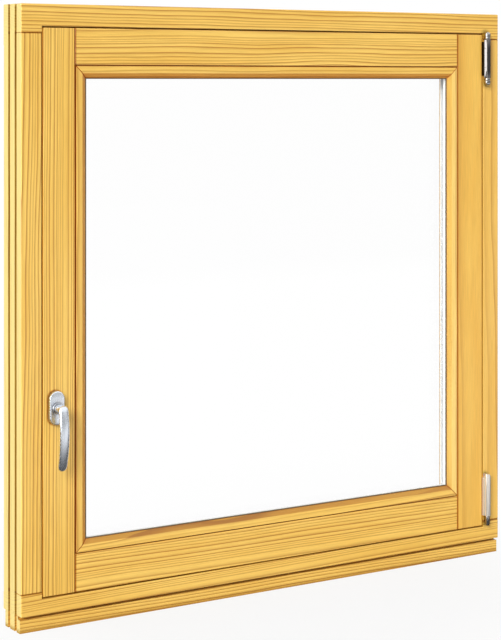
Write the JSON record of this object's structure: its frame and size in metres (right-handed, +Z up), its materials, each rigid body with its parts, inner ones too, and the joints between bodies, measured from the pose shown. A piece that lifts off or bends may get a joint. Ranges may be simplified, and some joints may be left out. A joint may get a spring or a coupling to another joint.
{
  "type": "timber tilt and turn window",
  "caption": "Pine tilt and turn window with a double-glazed sash, mitred glazing beads, an aluminium lever handle that turns, surface hinges and a recessed sill profile.",
  "frame": {"origin": "centre of the sill profile's underside: middle of the width, middle of the frame's depth", "axes": "+X to the right as seen from the room, +Y from the room to the outside, +Z up"},
  "size_m": [1, 0.1137, 1.027],
  "materials": {
    "frame_pine": "clear satin lacquer on pine",
    "sash_pine": "clear satin lacquer on pine",
    "bead_pine": "clear satin lacquer on pine",
    "glass": "clear float glass",
    "spacer": "mill finish",
    "seal": "matt grey sealant",
    "gasket": "matt black",
    "rain_aluminium": "satin anodised",
    "end_cap": "matt",
    "handle_metal": "satin silver anodised",
    "hinge_chrome": "bright plated",
    "cover": "light grey cap"
  },
  "bodies": {
    "window": {"frame_head": "frame_pine", "frame_bottom_rail": "frame_pine", "frame_left_jamb": "frame_pine", "frame_right_jamb": "frame_pine", "sill_profile": "frame_pine", "sash_left_stile": "sash_pine", "sash_right_stile": "sash_pine", "sash_top_rail": "sash_pine", "sash_bottom_rail": "sash_pine", "bead_left": "bead_pine", "bead_right": "bead_pine", "bead_top": "bead_pine", "bead_bottom": "bead_pine", "inner_pane": "glass", "outer_pane": "glass", "spacer_bars": "spacer", "inner_glazing_seal": "seal", "outer_glazing_seal": "seal", "sash_gasket": "gasket", "rain_rail": "rain_aluminium", "rain_rail_left_cap": "end_cap", "rain_rail_right_cap": "end_cap", "handle_rosette": "handle_metal", "top_hinge_bracket": "hinge_chrome", "top_hinge_barrel": "hinge_chrome", "top_hinge_leaf": "hinge_chrome", "top_hinge_pin": "hinge_chrome", "bottom_hinge_bearing": "hinge_chrome", "bottom_hinge_barrel": "hinge_chrome", "bottom_hinge_leaf": "hinge_chrome", "bottom_hinge_pin": "hinge_chrome", "bottom_hinge_cover": "cover"},
    "handle": {"handle_lever": "handle_metal"}
  },
  "joints": [
    {"name": "handle_turn", "type": "hinge", "parent": "window", "child": "handle", "pos_m": [-0.439, -0.034, 0.364], "axis": [0, -1, 0], "range_deg": [0, 180]}
  ]
}
